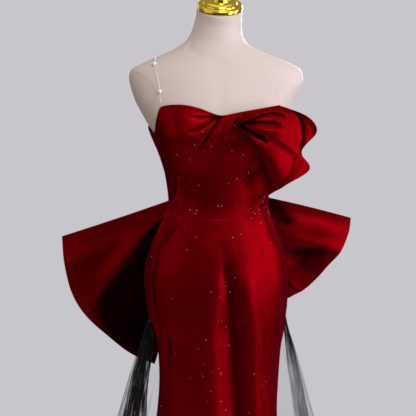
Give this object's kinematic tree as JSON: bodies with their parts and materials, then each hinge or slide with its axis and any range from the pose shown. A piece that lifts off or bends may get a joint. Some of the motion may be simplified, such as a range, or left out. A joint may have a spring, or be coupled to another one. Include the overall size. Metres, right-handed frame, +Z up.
{
  "type": "mermaid gown on a dress form",
  "caption": "Strapless satin mermaid gown with a one-sided bust bow, a big back bow and a black tulle train, worn by a limbless dress form on a stand.",
  "frame": {"origin": "centre of the stand's underside, on the floor", "axes": "+Z up, the gown's front faces -Y, the bust bow is on the +X side"},
  "size_m": [0.9783, 1.0024, 1.5479],
  "materials": {
    "wine_satin": "heavy satin with a soft sheen and scattered glitter",
    "black_tulle": "fine net with glitter",
    "form_linen": "smooth matt cover",
    "polished_gold": "polished",
    "pearl": "pearl lustre"
  },
  "bodies": {
    "root": {"bodice_front": "wine_satin", "bodice_back": "wine_satin", "skirt_front": "wine_satin", "skirt_back": "wine_satin", "bust_band": "wine_satin", "bust_bow": "wine_satin", "back_bow_left": "wine_satin", "back_bow_right": "wine_satin", "back_bow_knot": "wine_satin", "tulle_train": "black_tulle", "pearl_strap": "pearl", "form_torso": "form_linen", "form_neck_cap": "polished_gold", "form_pole": "polished_gold", "form_base": "polished_gold"}
  },
  "joints": []
}
